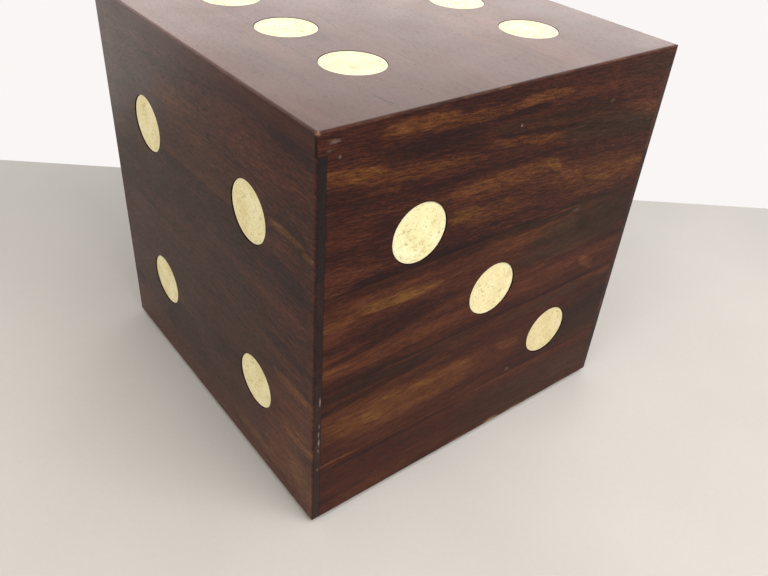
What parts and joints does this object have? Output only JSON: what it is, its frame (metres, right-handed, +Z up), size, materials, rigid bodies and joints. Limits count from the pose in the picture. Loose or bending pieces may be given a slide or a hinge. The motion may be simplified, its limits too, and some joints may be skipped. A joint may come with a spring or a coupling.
{
  "type": "die-shaped side table",
  "caption": "Large wooden die that stands on the floor as a low cube table, glued up from dark figured boards, with round cream inlays sunk into its faces and glides underneath.",
  "frame": {"origin": "on the floor plane under the glides, at the centre of the cube's footprint", "axes": "+Z up, out of the face that shows six; -Y out of the face that shows three; -X out of the face that shows four"},
  "size_m": [0.45, 0.45, 0.455],
  "materials": {
    "dark_hardwood": "satin lacquer",
    "edge_strip": "satin lacquer",
    "base_ply": "unfinished",
    "inlay_stone": "honed",
    "inner_softwood": "unfinished",
    "zinc_steel": "zinc plated",
    "nail_steel": "bright",
    "glide_plastic": "moulded"
  },
  "bodies": {
    "root": {"front_board_1": "dark_hardwood", "front_board_2": "dark_hardwood", "front_board_3": "dark_hardwood", "front_board_4": "dark_hardwood", "back_board_1": "dark_hardwood", "back_board_2": "dark_hardwood", "back_board_3": "dark_hardwood", "back_board_4": "dark_hardwood", "left_board_1": "dark_hardwood", "left_board_2": "dark_hardwood", "left_board_3": "dark_hardwood", "left_board_4": "dark_hardwood", "right_board_1": "dark_hardwood", "right_board_2": "dark_hardwood", "right_board_3": "dark_hardwood", "right_board_4": "dark_hardwood", "top_board_1": "dark_hardwood", "top_board_2": "dark_hardwood", "top_board_3": "dark_hardwood", "top_board_4": "dark_hardwood", "top_board_5": "dark_hardwood", "top_front_strip": "edge_strip", "top_back_strip": "edge_strip", "base_panel": "base_ply", "front_pip_1": "inlay_stone", "front_pip_2": "inlay_stone", "front_pip_3": "inlay_stone", "left_pip_1": "inlay_stone", "left_pip_2": "inlay_stone", "left_pip_3": "inlay_stone", "left_pip_4": "inlay_stone", "right_pip_1": "inlay_stone", "right_pip_2": "inlay_stone", "back_pip_1": "inlay_stone", "back_pip_2": "inlay_stone", "back_pip_3": "inlay_stone", "back_pip_4": "inlay_stone", "back_pip_5": "inlay_stone", "top_pip_1": "inlay_stone", "top_pip_2": "inlay_stone", "top_pip_3": "inlay_stone", "top_pip_4": "inlay_stone", "top_pip_5": "inlay_stone", "top_pip_6": "inlay_stone", "base_pip": "inlay_stone", "corner_post_1": "inner_softwood", "corner_post_2": "inner_softwood", "corner_post_3": "inner_softwood", "corner_post_4": "inner_softwood", "top_cleat_1": "inner_softwood", "top_cleat_2": "inner_softwood", "top_cleat_3": "inner_softwood", "top_cleat_4": "inner_softwood", "base_cleat_1": "inner_softwood", "base_cleat_2": "inner_softwood", "base_cleat_3": "inner_softwood", "base_cleat_4": "inner_softwood", "wood_screws": "zinc_steel", "glides": "glide_plastic", "glide_nails": "nail_steel"}
  },
  "joints": []
}
